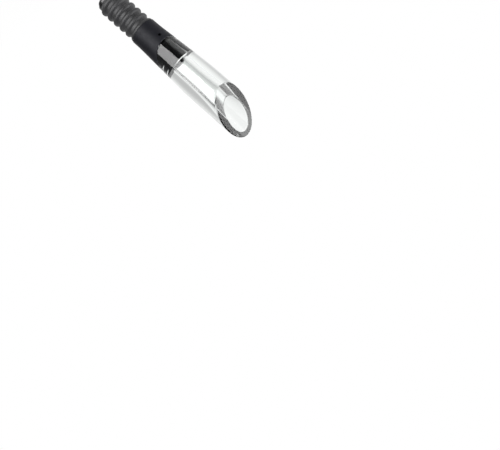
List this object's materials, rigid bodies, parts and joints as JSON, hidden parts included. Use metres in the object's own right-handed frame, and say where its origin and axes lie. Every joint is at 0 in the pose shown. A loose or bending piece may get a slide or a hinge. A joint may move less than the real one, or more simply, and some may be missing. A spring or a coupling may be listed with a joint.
{
  "type": "wine aerator pourer",
  "caption": "Bottle pourer with a ribbed silicone stopper, a dark collar with an air hole and a slanted top, a venturi insert and a clear spout with a slanted flared mouth.",
  "frame": {"origin": "centre of the collar's seat, where the pourer rests on the lip of the bottle", "axes": "+Z along the pourer's axis towards the mouth, +X towards the long side of the slanted mouth; the air hole and the short side of the mouth are at -X"},
  "size_m": [0.026, 0.026, 0.1602],
  "materials": {
    "clear_acrylic": "polished, clear",
    "soft_touch_charcoal": "soft-touch, matte",
    "black_plastic": "moulded, semi-gloss",
    "black_silicone": "moulded silicone, satin",
    "seal_rubber": "satin",
    "tube_plastic": "extruded, translucent",
    "mesh_steel": "woven wire"
  },
  "bodies": {
    "pourer_body": {"collar_grip": "soft_touch_charcoal", "collar_core": "black_plastic", "venturi_insert": "black_plastic", "jet_nozzle": "black_plastic", "spout_gasket": "seal_rubber", "insert_seal_ring": "seal_rubber", "inlet_stem": "black_plastic", "stem_seal_ring": "seal_rubber", "stopper_sleeve": "black_silicone", "breather_elbow": "black_plastic"},
    "spout": {"spout_tube": "clear_acrylic"},
    "strainer": {"strainer_cap": "black_plastic", "strainer_mesh": "mesh_steel"},
    "breather": {"breather_tube": "tube_plastic"}
  },
  "joints": [
    {"name": "spout_pull", "type": "slide", "parent": "pourer_body", "child": "spout", "axis": [0, 0, 1], "range_m": [0, 0.02]},
    {"name": "strainer_pull", "type": "slide", "parent": "pourer_body", "child": "strainer", "axis": [0, 0, -1], "range_m": [0, 0.012]},
    {"name": "breather_pull", "type": "slide", "parent": "pourer_body", "child": "breather", "axis": [0, 0, -1], "range_m": [0, 0.048]}
  ]
}
